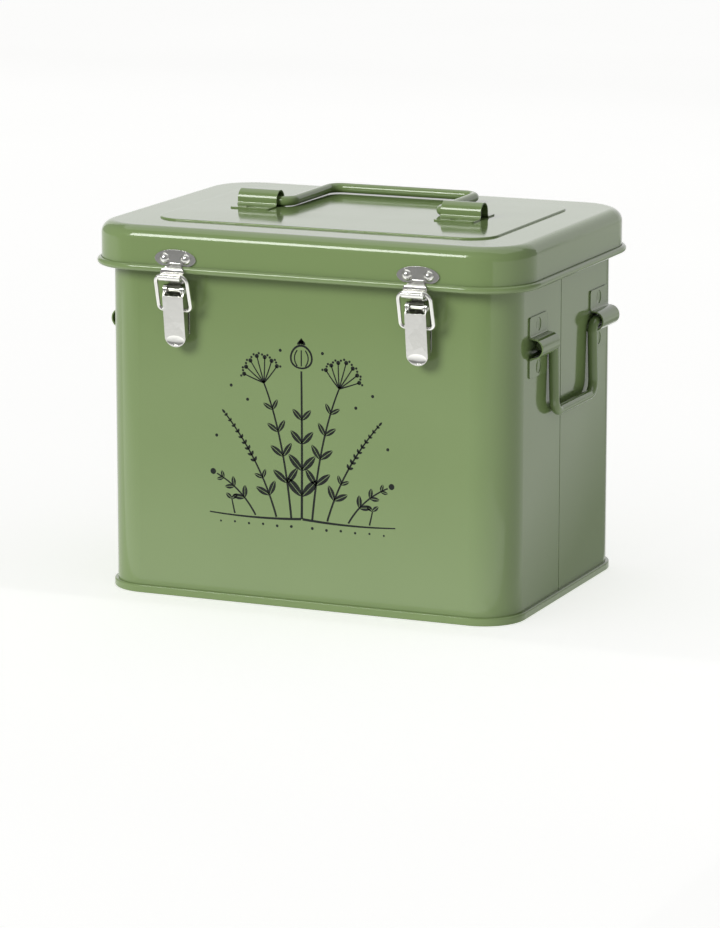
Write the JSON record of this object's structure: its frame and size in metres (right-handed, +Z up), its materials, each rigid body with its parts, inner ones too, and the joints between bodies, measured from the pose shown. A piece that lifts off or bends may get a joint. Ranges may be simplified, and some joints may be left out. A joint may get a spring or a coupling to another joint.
{
  "type": "garden seed organizer box",
  "caption": "Painted sheet-steel seed storage tin with a hinged lid, toggle latches, folding bail handles and a lift-out divider.",
  "frame": {"origin": "middle of the footprint, on the floor under the base rim", "axes": "+Z up, +X to the right of the latched front, -Y out of the latched front, +Y to the hinges"},
  "size_m": [0.2916, 0.2314, 0.2429],
  "materials": {
    "green_enamel": "glossy sage-green stoving enamel on tinplate",
    "nickel_plate": "bright nickel-plated pressed steel",
    "zinc_plate": "zinc-plated pressed steel"
  },
  "bodies": {
    "body": {"body_shell": "green_enamel", "base_pan": "green_enamel", "divider_guide_front": "green_enamel", "divider_guide_rear": "green_enamel", "left_handle_clip_front": "green_enamel", "left_handle_clip_rear": "green_enamel", "right_handle_clip_front": "green_enamel", "right_handle_clip_rear": "green_enamel", "left_latch_base": "nickel_plate", "left_latch_base_rivets": "nickel_plate", "left_lever_pin": "nickel_plate", "right_latch_base": "nickel_plate", "right_latch_base_rivets": "nickel_plate", "right_lever_pin": "nickel_plate", "left_hinge_body_leaf": "zinc_plate", "left_hinge_body_rivets": "zinc_plate", "left_hinge_pin": "zinc_plate", "right_hinge_body_leaf": "zinc_plate", "right_hinge_body_rivets": "zinc_plate", "right_hinge_pin": "zinc_plate"},
    "lid": {"lid_shell": "green_enamel", "top_handle_clip_left": "green_enamel", "top_handle_clip_right": "green_enamel", "left_keeper": "nickel_plate", "left_keeper_rivets": "nickel_plate", "right_keeper": "nickel_plate", "right_keeper_rivets": "nickel_plate", "left_hinge_lid_leaf": "zinc_plate", "left_hinge_lid_rivets": "zinc_plate", "right_hinge_lid_leaf": "zinc_plate", "right_hinge_lid_rivets": "zinc_plate"},
    "divider": {"compartment_divider": "green_enamel"},
    "top_bail": {"top_handle": "green_enamel"},
    "left_bail": {"left_side_handle": "green_enamel"},
    "right_bail": {"right_side_handle": "green_enamel"},
    "left_lever": {"left_latch_lever": "nickel_plate"},
    "right_lever": {"right_latch_lever": "nickel_plate"},
    "left_loop": {"left_latch_loop": "nickel_plate"},
    "right_loop": {"right_latch_loop": "nickel_plate"}
  },
  "joints": [
    {"name": "lid_hinge", "type": "hinge", "parent": "body", "child": "lid", "pos_m": [0, 0.1131, 0.20765], "axis": [-1, 0, 0], "range_deg": [0, 110]},
    {"name": "divider_lift", "type": "slide", "parent": "body", "child": "divider", "axis": [0, 0, 1], "range_m": [0, 0.07]},
    {"name": "top_bail_swing", "type": "hinge", "parent": "lid", "child": "top_bail", "pos_m": [0, 0, 0.2361], "axis": [1, 0, 0], "range_deg": [0, 179]},
    {"name": "left_bail_swing", "type": "hinge", "parent": "body", "child": "left_bail", "pos_m": [-0.1384, 0, 0.166], "axis": [0, 1, 0], "range_deg": [-1, 160]},
    {"name": "right_bail_swing", "type": "hinge", "parent": "body", "child": "right_bail", "pos_m": [0.1384, 0, 0.166], "axis": [0, -1, 0], "range_deg": [-1, 160]},
    {"name": "left_lever_swing", "type": "hinge", "parent": "body", "child": "left_lever", "pos_m": [-0.08, -0.1063, 0.1944], "axis": [-1, 0, 0], "range_deg": [0, 90]},
    {"name": "right_lever_swing", "type": "hinge", "parent": "body", "child": "right_lever", "pos_m": [0.08, -0.1063, 0.1944], "axis": [-1, 0, 0], "range_deg": [0, 90]},
    {"name": "left_loop_swing", "type": "hinge", "parent": "left_lever", "child": "left_loop", "pos_m": [-0.08, -0.1063, 0.182], "axis": [-1, 0, 0], "range_deg": [-55, 0]},
    {"name": "right_loop_swing", "type": "hinge", "parent": "right_lever", "child": "right_loop", "pos_m": [0.08, -0.1063, 0.182], "axis": [-1, 0, 0], "range_deg": [-55, 0]}
  ],
  "couplings": [
    {"joint": "left_loop_swing", "follows": "left_lever_swing", "ratio": -0.6},
    {"joint": "right_loop_swing", "follows": "right_lever_swing", "ratio": -0.6}
  ]
}
